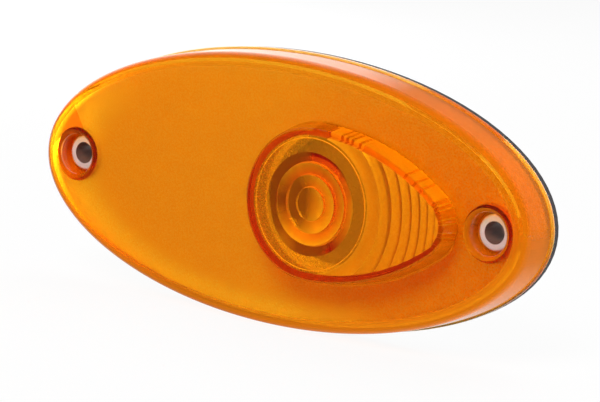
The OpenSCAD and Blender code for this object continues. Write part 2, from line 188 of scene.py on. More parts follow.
# %% Floor
FLOOR_REACH = 3.0

floor_z = frame_box[0][2]
floor_mesh = bpy.data.meshes.new("floor")
corners = ((-1, -1), (1, -1), (1, 1), (-1, 1))
floor_points = [(FLOOR_REACH * x, FLOOR_REACH * y, floor_z) for x, y in corners]
floor_mesh.from_pydata(floor_points, [], [(0, 1, 2, 3)])
floor = bpy.data.objects.new("floor", floor_mesh)
bpy.context.scene.collection.objects.link(floor)
print("floor at", round(floor_z, 4))

# %% Helpers for materials
def mix_shaders(tree, share, first, second):
    """The first shader, with a share of the second."""
    node = add_node(tree, "MixShader", Fac=share)
    plug(tree, node.inputs[1], first.outputs[0])
    plug(tree, node.inputs[2], second.outputs[0])
    return node


def new_material(name, colour, roughness=0.5, **values):
    """A Principled material with plain values on its sockets."""
    material = bpy.data.materials.new(name)
    material.use_nodes = True
    shader = material.node_tree.nodes["Principled BSDF"]
    shader.inputs["Base Color"].default_value = (*colour, 1)
    shader.inputs["Roughness"].default_value = roughness
    for socket, value in values.items():
        shader.inputs[socket.replace("_", " ")].default_value = value
    return material


print("short ways for materials: mix_shaders, new_material")

# %% Paper
PAPER = (0.9, 0.9, 0.9)
BEHIND_FACE = (-0.012, 0.0)
BEHIND_SHARES = (0.03, 0.9)
FADE_RIGHT = (0.02, 0.08)
FADE_SHARES = (1.0, 0.15)
BOUNCE = 0.9
GLOW_SHARE = 0.92
PAPER_ROUGHNESS = 0.9

paper = new_material("paper", PAPER, PAPER_ROUGHNESS)
sheet = paper.node_tree
paper_shader = sheet.nodes["Principled BSDF"]
paper_ray = add_node(sheet, "LightPath").outputs
floor_spot = add_node(sheet, "SeparateXYZ", Vector=add_node(sheet, "TexCoord").outputs["Object"]).outputs
pale_behind = remap(sheet, floor_spot["Y"], BEHIND_FACE, BEHIND_SHARES)
pale_left = remap(sheet, floor_spot["X"], FADE_RIGHT, FADE_SHARES)
pale = calculate(sheet, "MULTIPLY", pale_behind, pale_left)
pale_mirrored = calculate(sheet, "MULTIPLY", paper_ray["Is Glossy Ray"], pale)
seen_white = calculate(sheet, "MAXIMUM", paper_ray["Is Camera Ray"], paper_ray["Is Transmission Ray"])
glowing = calculate(sheet, "MAXIMUM", seen_white, pale_mirrored)
bounced = calculate(sheet, "MULTIPLY", paper_ray["Is Diffuse Ray"], BOUNCE)
glow_share = calculate(sheet, "MULTIPLY", calculate(sheet, "MAXIMUM", bounced, glowing), GLOW_SHARE)
paper_tone = mix_colours(sheet, paper_ray["Is Glossy Ray"], (*PAPER, 1), pale)
plug(sheet, paper_shader.inputs["Base Color"], paper_tone)
paper_glow = add_node(sheet, "Emission", Color=WHITE, Strength=1.0)
lit_paper = mix_shaders(sheet, glow_share, paper_shader, paper_glow)
plug(sheet, sheet.nodes["Material Output"].inputs["Surface"], lit_paper.outputs[0])
floor_mesh.materials.append(paper)
print("paper nodes:", len(sheet.nodes))

# %% [markdown]
# ## The lamps
# The lens glows from its edges: light that enters the skirt is led along inside the plastic. So
# two small lamps stand low and behind it, a strong one on the left for the golden edge and a
# weak one on the right, and two large ones above and in front give it its even tone. None of
# them shows as a mirrored square, because the picture has no such highlight on the flat face.

# %% Lamps
def softbox(name, at, size, watts):
    """A square lamp that looks at the middle of the part and isn't mirrored in it."""
    data = bpy.data.lights.new(name, "AREA")
    data.size = size
    data.energy = watts
    lamp = bpy.data.objects.new(name, data)
    lamp.location = at
    lamp.rotation_euler = (Vector((0, 0, 0)) - Vector(at)).to_track_quat("-Z", "Y").to_euler()
    lamp.visible_glossy = False
    bpy.context.scene.collection.objects.link(lamp)


softbox("overhead", at=(0.0, 0.25, 0.9), size=0.9, watts=5)
softbox("left_rear", at=(-0.55, 0.38, 0.02), size=0.14, watts=3.9)
softbox("right_rear", at=(0.5, 0.12, -0.02), size=0.2, watts=1.6)
softbox("front", at=(0.25, -0.9, 0.9), size=0.5, watts=10.5)

# %% [markdown]
# ## Forms drawn in the flat
# Every form of the lens is drawn lying on its back, in millimetres above the mounting face, and
# then stood up. Two outlines are enough: the oval, and the drop of the raised window, which is
# a round end, two long arcs and a small arc at the tip. Both can be pushed out or in by a reach,
# along their normals, because scaling an oval would make its wall thinner at the ends.

# %% Oval
LENGTH = 130.0
HEIGHT = 59.0


def oval(reach, count=240):
    """Points of the oval, moved outwards by reach."""
    half_l, half_h = LENGTH / 2, HEIGHT / 2
    points = []
    for i in range(count):
        a = math.tau * i / count
        n = math.hypot(half_h * math.cos(a), half_l * math.sin(a))
        points.append((half_l * math.cos(a) + reach * half_h * math.cos(a) / n,
                       half_h * math.sin(a) + reach * half_l * math.sin(a) / n))
    return points


print("oval points:", len(oval(0)))

# %% Drop
WINDOW_X = 13.7
WINDOW_R = 16.4
WINDOW_REACH = 34.2
TIP_R = 0.457 * WINDOW_R
TIP_X = WINDOW_REACH - TIP_R
SIDE_R = (WINDOW_R**2 + TIP_X**2 - TIP_R**2) / (2 * (WINDOW_R - TIP_R))
SIDE_DROP = SIDE_R - WINDOW_R
ROUND_POINTS = 96
ARC_POINTS = 48
TIP_TURN = math.atan2(SIDE_DROP, TIP_X)


def arc(cx, cy, r, start, end, count):
    """Points of an arc, without its last one."""
    turns = [start + (end - start) * i / count for i in range(count)]
    return [(cx + r * math.cos(a), cy + r * math.sin(a)) for a in turns]


def drop(reach):
    """Points of the window's outline, moved outwards by reach."""
    quarter = math.pi / 2
    return (arc(WINDOW_X, 0, WINDOW_R + reach, quarter, 3 * quarter, ROUND_POINTS)
            + arc(WINDOW_X, SIDE_DROP, SIDE_R + reach, 3 * quarter, 4 * quarter - TIP_TURN, ARC_POINTS)
            + arc(WINDOW_X + TIP_X, 0, TIP_R + reach, -TIP_TURN, TIP_TURN, ARC_POINTS)
            + arc(WINDOW_X, -SIDE_DROP, SIDE_R + reach, TIP_TURN, quarter, ARC_POINTS))


print("side radius", round(SIDE_R, 2), "tip radius", round(TIP_R, 2))

# %% [markdown]
# ## Solids from outlines
# A moulding is a stack of outlines at rising heights. Each stack is built face by face, and
# then joined or cut with booleans. Subdivision surfaces would soften the crisp edges that
# steer the light, so all roundings are drawn with small steps instead.

# %% Stacked outlines
def stood_up(x, y, z):
    """From a height above the mounting face to the upright frame, in metres."""
    return (x * MM, -z * MM, y * MM)


def solid(name, bm):
    """Turns a bmesh into an object with outward normals."""
    bmesh.ops.recalc_face_normals(bm, faces=bm.faces)
    mesh = bpy.data.meshes.new(name)
    bm.to_mesh(mesh)
    bm.free()
    form = bpy.data.objects.new(name, mesh)
    bpy.context.scene.collection.objects.link(form)
    return form


def loft(name, outlines, heights):
    """A closed solid through a stack of outlines."""
    bm = bmesh.new()
    rows = [[bm.verts.new(stood_up(x, y, z)) for x, y in line] for line, z in zip(outlines, heights)]
    for lower, upper in zip(rows, rows[1:]):
        for i in range(len(lower)):
            j = (i + 1) % len(lower)
            bm.faces.new((lower[i], lower[j], upper[j], upper[i]))
    bm.faces.new(rows[0])
    bm.faces.new(rows[-1])
    return solid(name, bm)


print("a point 5 mm above the mounting face:", stood_up(0, 0, 5))

# %% Joining and cutting
def combine(body, tool, how):
    """Applies one boolean step and removes the tool."""
    step = body.modifiers.new("step", "BOOLEAN")
    step.operation = how
    step.object = tool
    step.solver = "MANIFOLD"
    graph = bpy.context.evaluated_depsgraph_get()
    mesh = bpy.data.meshes.new_from_object(body.evaluated_get(graph))
    body.modifiers.clear()
    body.data = mesh
    bpy.data.objects.remove(tool)


print("booleans are ready")

# %% [markdown]
# ## The shell of the lens
# The real lens is one injection moulding: an oval tray with a drafted skirt, a foot, a rounded
# rim and a raised window. It is added up and cut out of simple solids here, as a toolmaker
# would plan the mould, and with finer steps than the solids behind it, because each facet
# would show as a streak of light.

# %% Oval shell
FOOT = 1.6
PLATE = 12.3
RIM = 3.0
DRAFT = 0.35
FOOT_H = 0.9
FOOT_REACH = 0.3
AIR = 0.04

STEPS = 8

quarter_steps = [math.pi / 2 * i / STEPS for i in range(STEPS + 1)]
rim_low = PLATE - RIM
foot_top = DRAFT * (rim_low - FOOT - FOOT_H) / (rim_low - FOOT)
shell_reaches = [DRAFT + FOOT_REACH, foot_top + FOOT_REACH, foot_top]
shell_reaches += [RIM * (math.cos(a) - 1) for a in quarter_steps]
shell_levels = [FOOT + AIR, FOOT + FOOT_H, FOOT + FOOT_H]
shell_levels += [rim_low + RIM * math.sin(a) for a in quarter_steps]
lens = loft("amber_lens", [oval(reach) for reach in shell_reaches], shell_levels)
print("shell:", len(lens.data.polygons), "faces")

# %% Raised window
WINDOW = 17.5
SINK = 0.4
LEAN = 0.7
EDGE = 0.8
FILLET = 0.9
FILLET_LOW = 0.12

lean_top = LEAN * EDGE / (WINDOW - PLATE)
window_reaches = [LEAN + FILLET] + [LEAN + FILLET * (1 - math.sin(a)) for a in quarter_steps]
window_reaches += [lean_top + EDGE * (math.cos(a) - 1) for a in quarter_steps]
window_levels = [PLATE - SINK]
window_levels += [PLATE - FILLET_LOW + FILLET * (1 - math.cos(a)) for a in quarter_steps]
window_levels += [WINDOW + EDGE * (math.sin(a) - 1) for a in quarter_steps]
combine(lens, loft("window", [drop(reach) for reach in window_reaches], window_levels), "UNION")
print("with window:", len(lens.data.polygons), "faces")

# %% [markdown]
# ## The hollow
# Behind the plate the moulding is hollow with an even wall. Its back is frosted, but a narrow
# band along the rim stays clear, and that band carries the bright line along the edge. A bump
# map can't end at a sharp line like that, so the frosted field is a step cut 0.15 mm deep.

# %% Hollow of the lens
WALL = 1.6
PLATE_BACK = 10.7
WINDOW_WALL = 1.6
WINDOW_BACK = 15.9
CLEAR_BAND = 2.2
ETCH_STEP = 0.15

hollow = loft("hollow", [oval(DRAFT - WALL), oval(-WALL), oval(-WALL)], [FOOT - SINK, rim_low, PLATE_BACK])
combine(lens, hollow, "DIFFERENCE")
etched_field = loft("etched_field", [oval(-CLEAR_BAND)] * 2, [PLATE_BACK - SINK, PLATE_BACK + ETCH_STEP])
combine(lens, etched_field, "DIFFERENCE")
window_hollow = loft("window_hollow", [drop(LEAN - WINDOW_WALL), drop(-WINDOW_WALL)],
                     [PLATE_BACK - SINK, WINDOW_BACK])
combine(lens, window_hollow, "DIFFERENCE")
print("hollowed:", len(lens.data.polygons), "faces")

# %% [markdown]
# ## Eye and rings
# Behind the window's round end, a small dome and three stepped rings gather the light of the
# diode, as a thick lens cut into steps. They are one profile turned about the eye's axis. Each
# ring slopes up from a narrow land, and that slope makes one side dark and the other bright.

# %% Turned profiles
TURN_SEGMENTS = 240


def turned_row(bm, r, z, cx, segments):
    """One ring of points, or a single point on the axis."""
    if r == 0:
        return [bm.verts.new(stood_up(cx, 0, z))]
    turns = [math.tau * i / segments for i in range(segments)]
    return [bm.verts.new(stood_up(cx + r * math.cos(a), r * math.sin(a), z)) for a in turns]


def revolve(name, profile, cx, segments=TURN_SEGMENTS):
    """A closed solid of revolution through (radius, height) points, about a line at cx."""
    bm = bmesh.new()
    rows = [turned_row(bm, r, z, cx, segments) for r, z in profile]
    for a, b in zip(rows, rows[1:] + rows[:1]):
        for i in range(segments):
            j = (i + 1) % segments
            if len(a) == 1 and len(b) == 1:
                break
            if len(a) == 1:
                bm.faces.new((a[0], b[j], b[i]))
            elif len(b) == 1:
                bm.faces.new((a[i], a[j], b[0]))
            else:
                bm.faces.new((a[i], a[j], b[j], b[i]))
    return solid(name, bm)


print("steps in one turn:", TURN_SEGMENTS)

# %% Eye and rings
EYE_R = 3.6
EYE_H = 0.8
EYE_STEPS = 10
RING_EDGES = (3.6, 6.3, 8.9, 11.2)
RING_STEPS = (1.1, 1.6, 1.25)
RINGS_R = RING_EDGES[-1]
LAND = 0.25
BEAD_R = 14.1
HAIR = 0.001

ring_profile = [(0, WINDOW_BACK + SINK)]
ring_profile += [(EYE_R * i / EYE_STEPS, WINDOW_BACK - EYE_H * (1 - (i / EYE_STEPS) ** 2))
                 for i in range(EYE_STEPS + 1)]
for inner, outer, step in zip(RING_EDGES, RING_EDGES[1:], RING_STEPS):
    ring_profile += [(inner + HAIR, WINDOW_BACK - step), (inner + LAND, WINDOW_BACK - step),
                     (outer, WINDOW_BACK)]
ring_profile.append((RINGS_R, WINDOW_BACK + SINK))
combine(lens, revolve("rings", ring_profile, WINDOW_X), "UNION")
bead_profile = [(BEAD_R, WINDOW_BACK + SINK), (BEAD_R, WINDOW_BACK - LAND),
                (BEAD_R + LAND, WINDOW_BACK - LAND), (BEAD_R + LAND, WINDOW_BACK + SINK)]
combine(lens, revolve("bead", bead_profile, WINDOW_X), "UNION")
print("with rings:", len(lens.data.polygons), "faces")

# %% [markdown]
# ## Arc flutes
# Towards the tip, rounded flutes spread the light sideways. They lie on arcs about the eye, and
# each is a little narrower than the one before. A row of copies would not follow the drop's
# outline, so the whole set is turned as one solid and then trimmed to the window's shape.

# %% Arc flutes
FLUTE_W = 3.3
FLUTE_H = 0.4
FLUTE_SHRINK = 0.9
FAR = 60
ASIDE = 40

r = WINDOW_R - WINDOW_WALL
width = FLUTE_W
flute_profile = [(r, WINDOW_BACK + SINK), (r, WINDOW_BACK)]
while r < WINDOW_REACH:
    for i in range(1, STEPS + 1):
        share = i / STEPS
        flute_profile.append((r + share * width, WINDOW_BACK - 4 * FLUTE_H * share * (1 - share)))
    r += width
    width *= FLUTE_SHRINK
flute_profile.append((r, WINDOW_BACK + SINK))
flutes = revolve("flutes", flute_profile, WINDOW_X)
trim_low = WINDOW_BACK - 2 * FLUTE_H
drop_trim = loft("drop_trim", [drop(-WINDOW_WALL / 2)] * 2, [trim_low, WINDOW - WINDOW_WALL / 2])
combine(flutes, drop_trim, "INTERSECT")
near_x, far_x = WINDOW_X + FLUTE_W, WINDOW_X + FAR
right_half = [(near_x, -ASIDE), (far_x, -ASIDE), (far_x, ASIDE), (near_x, ASIDE)]
combine(flutes, loft("right_trim", [right_half] * 2, [trim_low, WINDOW]), "INTERSECT")
combine(lens, flutes, "UNION")
print("with flutes:", len(lens.data.polygons), "faces")

# %% [markdown]
# ## Screw wells
# Each screw sits in a well with a rounded mouth, whose floor carries the pale sleeve. Three
# plain cylinders could drill it, but they would leave sharp edges and thin leftover faces. So a
# boss is added behind the plate, and the sleeve's hole, the well and its mouth are cut out of
# it with one turned piece.

# %% Screw wells
HOLE_X = 55.5
WELL_R = 4.6
MOUTH = 1.2
WELL_WALL = 1.5
WELL_FLOOR = 8.0
WELL_BACK = 6.4
SLEEVE_HOLE = 4.07
LIP = 0.02
WELL_SEGMENTS = 96

mouth = [(WELL_R + MOUTH - MOUTH * math.cos(a), PLATE - MOUTH + LIP + MOUTH * math.sin(a))
         for a in quarter_steps]
well_space = [(0, WELL_BACK - SINK), (SLEEVE_HOLE, WELL_BACK - SINK), (SLEEVE_HOLE, WELL_FLOOR),
              (WELL_R, WELL_FLOOR)] + mouth + [(WELL_R + MOUTH, PLATE + SINK), (0, PLATE + SINK)]
boss_profile = [(0, WELL_BACK), (WELL_R + WELL_WALL, WELL_BACK),
                (WELL_R + WELL_WALL, PLATE - WALL / 2), (0, PLATE - WALL / 2)]
for side in (-1, 1):
    combine(lens, revolve("boss", boss_profile, side * HOLE_X, WELL_SEGMENTS), "UNION")
    combine(lens, revolve("well", well_space, side * HOLE_X, WELL_SEGMENTS), "DIFFERENCE")
print("with wells:", len(lens.data.polygons), "faces")

# %% [markdown]
# ## Amber plastic
# The plastic is dyed right through: a thin wall is orange and a thick one goes to red-brown. A
# tint on the surface would colour thick and thin walls alike, so the dye is an absorbing
# volume. Light bent by a wall rarely finds a lamp again, so shadow rays pass straight through,
# which lets the lamps reach the pieces behind the lens.

# %% Helpers for plastics
GRAIN_DETAIL = 3.0


def add_grain(material, scale, depth, strength=1.0):
    """Adds a fine bump, with its depth in metres, and returns the noise that makes it."""
    tree = material.node_tree
    spot = add_node(tree, "TexCoord").outputs["Object"]
    noise = add_node(tree, "TexNoise", Vector=spot, Scale=scale, Detail=GRAIN_DETAIL).outputs["Fac"]
    bump = add_node(tree, "Bump", Strength=strength, Distance=depth, Height=noise)
    plug(tree, tree.nodes["Principled BSDF"].inputs["Normal"], bump.outputs["Normal"])
    return noise


def face_mark(tree, name):
    """The number that every face of the lens carries under this name."""
    node = add_node(tree, "Attribute")
    node.attribute_name = name
    return node.outputs["Fac"]


print("short ways for plastics: add_grain, face_mark")

# %% Dyed plastic
DYE = (0.966, 0.814, 0.0)
DYE_DENSITY = 1450.0
POLISH = 0.02
ACRYLIC_IOR = 1.49

amber = new_material("amber", (1, 1, 1), POLISH, Transmission_Weight=1.0, IOR=ACRYLIC_IOR)
resin = amber.node_tree
amber_shader = resin.nodes["Principled BSDF"]
amber_output = resin.nodes["Material Output"]
dye = add_node(resin, "VolumeAbsorption", Color=(*DYE, 1), Density=DYE_DENSITY)
plug(resin, amber_output.inputs["Volume"], dye.outputs[0])
print("light left after 1 mm:", [round(math.exp((c - 1) * DYE_DENSITY * MM), 3) for c in DYE])

# %% [markdown]
# ## Etched and milky faces
# Outside, the mould is polished. Behind the flat face it is etched, so that light from inside
# spreads into an even glow, and the sawn edges and the rings scatter a little light as milk
# does; on the rings the milk also paints their bright sides. Several materials could show that,
# but one dyed body needs one volume. So every face carries four numbers, and the one material
# reads them as etch, milk, stain with painted shade, and haze with painted light.

# %% Etch and milk
GRIT = 0.5
ETCH_SCALE = 2600
ETCH_DEPTH = 0.00006

etch = face_mark(resin, "etch")
plug(resin, amber_shader.inputs["Roughness"], remap(resin, etch, (0, 1), (POLISH, GRIT)))
add_grain(amber, ETCH_SCALE, ETCH_DEPTH, etch)
clearness = remap(resin, face_mark(resin, "milk"), (0, 1), (1, 0))
plug(resin, amber_shader.inputs["Transmission Weight"], clearness)
print("etch and milk:", len(resin.nodes), "nodes")

# %% [markdown]
# ## Stain, painted shade and a painted golden margin
# Light crosses the etched field at all angles, so it goes through more dye than the wall is
# thick, and looks deeper and speckled. More dye would darken the clear rim too, so the etched
# faces carry a stain of their own. Shade and light are painted into that stain: it grows to the
# right as painted shade, and it fades out in the margin of the oval at the lower left, which
# paints the golden glow of light that enters there through the skirt.

# %% Stain and painted shade
SPECKS = 0.18
SPECK_DETAIL = 2.0
SPECK_RANGE = (0.38, 0.62)
RIGHT_HALF = (0.0, 0.06)
RIGHT_SHADE = (1.0, 1.6)

lens_spot = add_node(resin, "TexCoord").outputs["Object"]
speck = add_node(resin, "TexNoise", Vector=lens_spot, Scale=ETCH_SCALE, Detail=SPECK_DETAIL).outputs["Fac"]
uneven = remap(resin, speck, SPECK_RANGE, (1 - SPECKS, 1 + SPECKS))
# painted shade: the stain grows towards the right
painted_right_shade = remap(resin, add_node(resin, "SeparateXYZ", Vector=lens_spot).outputs["X"], RIGHT_HALF, RIGHT_SHADE)
specks_and_shade = calculate(resin, "MULTIPLY", uneven, painted_right_shade)
stain_and_shade_share = calculate(resin, "MULTIPLY", face_mark(resin, "stain"), specks_and_shade)
print("with stain:", len(resin.nodes), "nodes")

# %% Helper for vectors
def calculate_vector(tree, operation, *vectors):
    """The result of one sum on vectors: a number for a length or a dot product."""
    node = tree.nodes.new("ShaderNodeVectorMath")
    node.operation = operation
    for socket, value in zip(node.inputs, vectors):
        plug(tree, socket, value)
    return node.outputs["Value" if operation in ("LENGTH", "DOT_PRODUCT") else "Vector"]


print("short way for vectors: calculate_vector")

# %% Painted glow at the golden margin
STAIN_AND_SHADE_TONE = (0.72, 0.18, 0.01)
SAND = 0.25
MARGIN = (0.88, 1.0)
LOW_LEFT = (-1, 0, -0.8)
LOW_LEFT_RANGE = (0.1, 0.6)

spread = calculate_vector(resin, "MULTIPLY", lens_spot, (2 / LENGTH / MM, 0, 2 / HEIGHT / MM))
sandy_edge = calculate(resin, "MULTIPLY_ADD", speck, SAND, calculate_vector(resin, "LENGTH", spread))
low_left = remap(resin, calculate_vector(resin, "DOT_PRODUCT", spread, LOW_LEFT), LOW_LEFT_RANGE, (0, 1))
# painted light: the stain fades out in the lower left margin, for the golden glow there
painted_margin_glow = calculate(resin, "MULTIPLY", remap(resin, sandy_edge, MARGIN, (0, 1)), low_left)
stain_with_painted_light = calculate(resin, "MULTIPLY", stain_and_shade_share, remap(resin, painted_margin_glow, (0, 1), (1, 0)))
amber_tone = mix_colours(resin, stain_with_painted_light, WHITE, (*STAIN_AND_SHADE_TONE, 1))
plug(resin, amber_shader.inputs["Base Color"], amber_tone)
print("with margin:", len(resin.nodes), "nodes")

# %% [markdown]
# ## Haze and painted light
# The skirt, the well mouths and the window's sides look dusty and orange, because fine scuffs
# scatter light there. Roughness would blur the clear wall without making it any paler. A
# second, solid orange surface, mixed in by each face's haze, gives the veil and keeps the gloss.
# Part of that haze is painted light: faces turned to the left or down get more of it, and so
# does the right well's mouth, to lift places that the lamps leave dark.

# %% Haze and painted light
HAZE_AND_LIGHT_TONE = (0.95, 0.26, 0.005)

veil = add_node(resin, "BsdfPrincipled", Base_Color=(*HAZE_AND_LIGHT_TONE, 1), Roughness=POLISH, IOR=ACRYLIC_IOR)
haze_with_painted_light = mix_shaders(resin, face_mark(resin, "haze_and_painted_light"), amber_shader, veil)
passing = add_node(resin, "BsdfTransparent", Color=WHITE)
in_shadow = add_node(resin, "LightPath").outputs["Is Shadow Ray"]
plug(resin, amber_output.inputs["Surface"], mix_shaders(resin, in_shadow, haze_with_painted_light, passing).outputs[0])
print("amber nodes:", len(resin.nodes))

# %% Room for light inside the plastic
BOUNCES = 24
GLOSSY_BOUNCES = 20

cycles = bpy.context.scene.cycles
cycles.max_bounces = BOUNCES
cycles.glossy_bounces = GLOSSY_BOUNCES
cycles.transmission_bounces = BOUNCES
print("bounces:", cycles.max_bounces, cycles.glossy_bounces, cycles.transmission_bounces)

# %% [markdown]
# ## Finding the surfaces
# On the mould, each finish belongs to a surface, such as the etched field, a boss or the
# window's flank. Faces could be picked by hand, but the choice would be lost whenever a size
# changes. So short tests on a face's place and direction find them again in every build.

# %% Where a face lies
def spot_of(face):
    """The middle of a face in millimetres: along the lamp, up, and above the mounting face."""
    return face.center.x / MM, face.center.z / MM, -face.center.y / MM


def beside_oval(face, wall):
    """How much a face looks outwards, and how far out it lies, with 1 for the oval's line."""
    x, z = spot_of(face)[:2]
    half_l, half_h = LENGTH / 2 - wall, HEIGHT / 2 - wall
    outwards = face.normal.x * x / half_l**2 + face.normal.z * z / half_h**2
    return outwards, (x / half_l) ** 2 + (z / half_h) ** 2


def from_screw(face):
    """How far a face lies from the nearer screw's axis."""
    x, z = spot_of(face)[:2]
    return math.hypot(abs(x) - HOLE_X, z)


def held(share):
    """A share, held between nothing and all."""
    return max(0.0, min(1.0, share))


print("first face at", [round(v, 1) for v in spot_of(lens.data.polygons[0])])

# %% Surfaces of the shell
TOUCH = 0.02
HOLLOW_LINE = 0.93
SKIRT_LINE = 0.75
FIELD_SLOPE = 0.9


def faces_inwards(face):
    """True for the side wall of the hollow."""
    outwards, line = beside_oval(face, WALL)
    return outwards < 0 and line > HOLLOW_LINE


def on_skirt(face):
    """True for the outside of the skirt and the rim."""
    outwards, line = beside_oval(face, 0)
    level = spot_of(face)[2]
    return outwards > 0 and line > SKIRT_LINE and FOOT + FOOT_H < level < PLATE - TOUCH


def is_sawn(face):
    """True for the lower edge of the foot or of a screw well."""
    level = spot_of(face)[2]
    return abs(level - FOOT - AIR) < TOUCH or abs(level - WELL_BACK) < TOUCH


def on_etched_field(face):
    """True for the flat field behind the plate."""
    level = spot_of(face)[2]
    return abs(level - PLATE_BACK - ETCH_STEP) < TOUCH and face.normal.y > FIELD_SLOPE


for test in (faces_inwards, on_skirt, is_sawn, on_etched_field):
    print(test.__name__, sum(test(face) for face in lens.data.polygons))

# %% Surfaces of the wells and the window
NEAR = 0.1
FLANK_X = 20.0
RING_MARGIN = 1
BOSS_SLOPE = 0.5
FLANK_SLOPE = 0.4
OPTIC_DEPTH = 2
OPTIC_SLOPE = 0.1


def on_boss(face):
    """True for the outside of a screw well."""
    level = spot_of(face)[2]
    at_wall = abs(from_screw(face) - WELL_R - WELL_WALL) < NEAR
    return level < PLATE_BACK and at_wall and abs(face.normal.y) < BOSS_SLOPE


def in_mouth(face):
    """True for the mouth and the side of a screw well."""
    level = spot_of(face)[2]
    in_well = WELL_R - NEAR < from_screw(face) < WELL_R + MOUTH
    return in_well and WELL_FLOOR + NEAR < level < PLATE - TOUCH / 2


def on_flank(face):
    """True for the inner side of the window's flank."""
    x, z, level = spot_of(face)
    inwards = face.normal.x * (x - FLANK_X) + face.normal.z * z < 0
    beside_rings = math.hypot(x - WINDOW_X, z) > RINGS_R + RING_MARGIN
    behind_window = PLATE_BACK - NEAR < level < WINDOW_BACK - NEAR
    return behind_window and abs(face.normal.y) < FLANK_SLOPE and inwards and beside_rings


def on_optics(face):
    """True for the rings, the flutes and the flat ring between them."""
    level = spot_of(face)[2]
    return WINDOW_BACK - OPTIC_DEPTH < level < WINDOW_BACK + TOUCH and face.normal.y > OPTIC_SLOPE


for test in (on_boss, in_mouth, on_flank, on_optics):
    print(test.__name__, sum(test(face) for face in lens.data.polygons))

# %% [markdown]
# ## Painted glow of the rings
# Each ring is bright on the side where it bends light from the left to the eye, and dark on the
# other. Tracing that light through every step would take a huge number of samples, so the
# bright and dark sides are painted: a ring's milk share changes with its angle about the axis.
# Steps and lands are milky.

# %% Painted glow of the rings
STEP_GLOW = 1.0
FIRST_GLOW = 0.85
FLUTE_GLOW = 0.4
FLAT_GLOW = 0.28
RING_TURNS = (130, 175, 55)
TURN_FADE = 60
EYE_START = 1.5
EYE_FADE = 4
STEP_SLOPE = 0.1
LAND_SLOPE = 0.999


def ring_share(face):
    """How much a face of the optics glows: full on a ring's right side and nothing on its left."""
    x, z, level = spot_of(face)
    x -= WINDOW_X
    r = math.hypot(x, z)
    raised = WINDOW_BACK - OPTIC_DEPTH < level < WINDOW_BACK - TOUCH
    if raised and BEAD_R - TOUCH / 2 < r < BEAD_R + LAND:
        return STEP_GLOW
    if raised and r > BEAD_R + LAND and x > FLUTE_W:
        return FIRST_GLOW if r < WINDOW_R - WINDOW_WALL + FLUTE_W else FLUTE_GLOW
    if r < WINDOW_R and abs(level - WINDOW_BACK) < TOUCH:
        return FLAT_GLOW
    if r > RINGS_R + TOUCH / 2 or not raised:
        return 0.0
    if abs(face.normal.y) < STEP_SLOPE or (r > EYE_R and face.normal.y > LAND_SLOPE):
        return STEP_GLOW
    if r < EYE_R:
        return held((x + EYE_START) / EYE_FADE)
    half_turn = RING_TURNS[sum(1 for edge in RING_EDGES[1:-1] if r > edge)]
    # painted light: the milk share paints each ring's bright and dark sides
    return held((half_turn - abs(math.degrees(math.atan2(z, x)))) / TURN_FADE)


print("ring turns:", RING_TURNS)

# %% [markdown]
# ## Marking the lens
# The tests now give each face its four numbers. Vertex colours could hold them too, but they
# would blend across an edge, and the finish of a moulding stops at its edges. Weighted normals
# then keep the flat faces flat where they meet the small roundings.

# %% Marks for etch, milk, and stain with painted shade
ETCHED = 1.0
OPTIC = 0.25
POLISHED = 0.0
SAWN = 0.8
BOSS = 0.6
FLANK = 0.15
PLATE_STAIN = 0.56
OPTIC_STAIN = 0.06
FLAT_STAIN = 0.24
PAINTED_SHADE_RAMP = 0.05


def wall_marks(face):
    """Etch, milk, and stain with painted shade of one face."""
    milk = BOSS if on_boss(face) else SAWN if is_sawn(face) else 0.0
    if faces_inwards(face) or on_boss(face):
        # painted light: on the inner walls and bosses the stain fades out to the left, painting glow there
        # and shade on the right
        return ETCHED, milk, PLATE_STAIN * held(0.5 + face.center.x / PAINTED_SHADE_RAMP)
    if on_etched_field(face):
        return ETCHED, milk, PLATE_STAIN
    if on_optics(face):
        glow = ring_share(face)
        return OPTIC, glow, FLAT_STAIN if glow in (FLUTE_GLOW, FIRST_GLOW, FLAT_GLOW) else OPTIC_STAIN
    if on_flank(face):
        return ETCHED, FLANK, PLATE_STAIN
    return POLISHED, milk, 0.0


print("stained faces:", sum(1 for face in lens.data.polygons if wall_marks(face)[2] > 0))

# %% Marks for haze with painted light
MOUTH_HAZE = 0.5
SKIRT_HAZE = 0.35
SHADE_HAZE = 0.5
SIDE_HAZE_AND_LIGHT = 0.45
SHADE_LEFT = 1.6
SHADE_DOWN = 1.2
SHADE_START = 0.3
SIDE_LEAN = (-0.995, 0.001)
SIDE_DOWN = -0.3


def haze_and_light_mark(face):
    """How hazy one face looks. Faces turned to the left or down get the most haze, as painted light."""
    x, z, level = spot_of(face)
    across, forwards, up = face.normal
    if in_mouth(face):
        # painted light: the left well's mouth gets half the haze of the right one
        return MOUTH_HAZE if x > 0 else MOUTH_HAZE / 2
    if on_skirt(face):
        # painted light: faces turned to the left or down get more haze
        turned_away = max(-SHADE_LEFT * across - SHADE_DOWN * up, -up)
        return SKIRT_HAZE + SHADE_HAZE * held(turned_away + SHADE_START)
    leaning = SIDE_LEAN[0] < forwards <= SIDE_LEAN[1]
    # painted light: window sides turned to the left or down get haze
    if level > PLATE + TOUCH and leaning and (across < 0 or up < SIDE_DOWN):
        return SIDE_HAZE_AND_LIGHT
    return 0.0


print("hazy faces:", sum(1 for face in lens.data.polygons if haze_and_light_mark(face) > 0))

# %% Finished lens
SHARP_ANGLE = 26

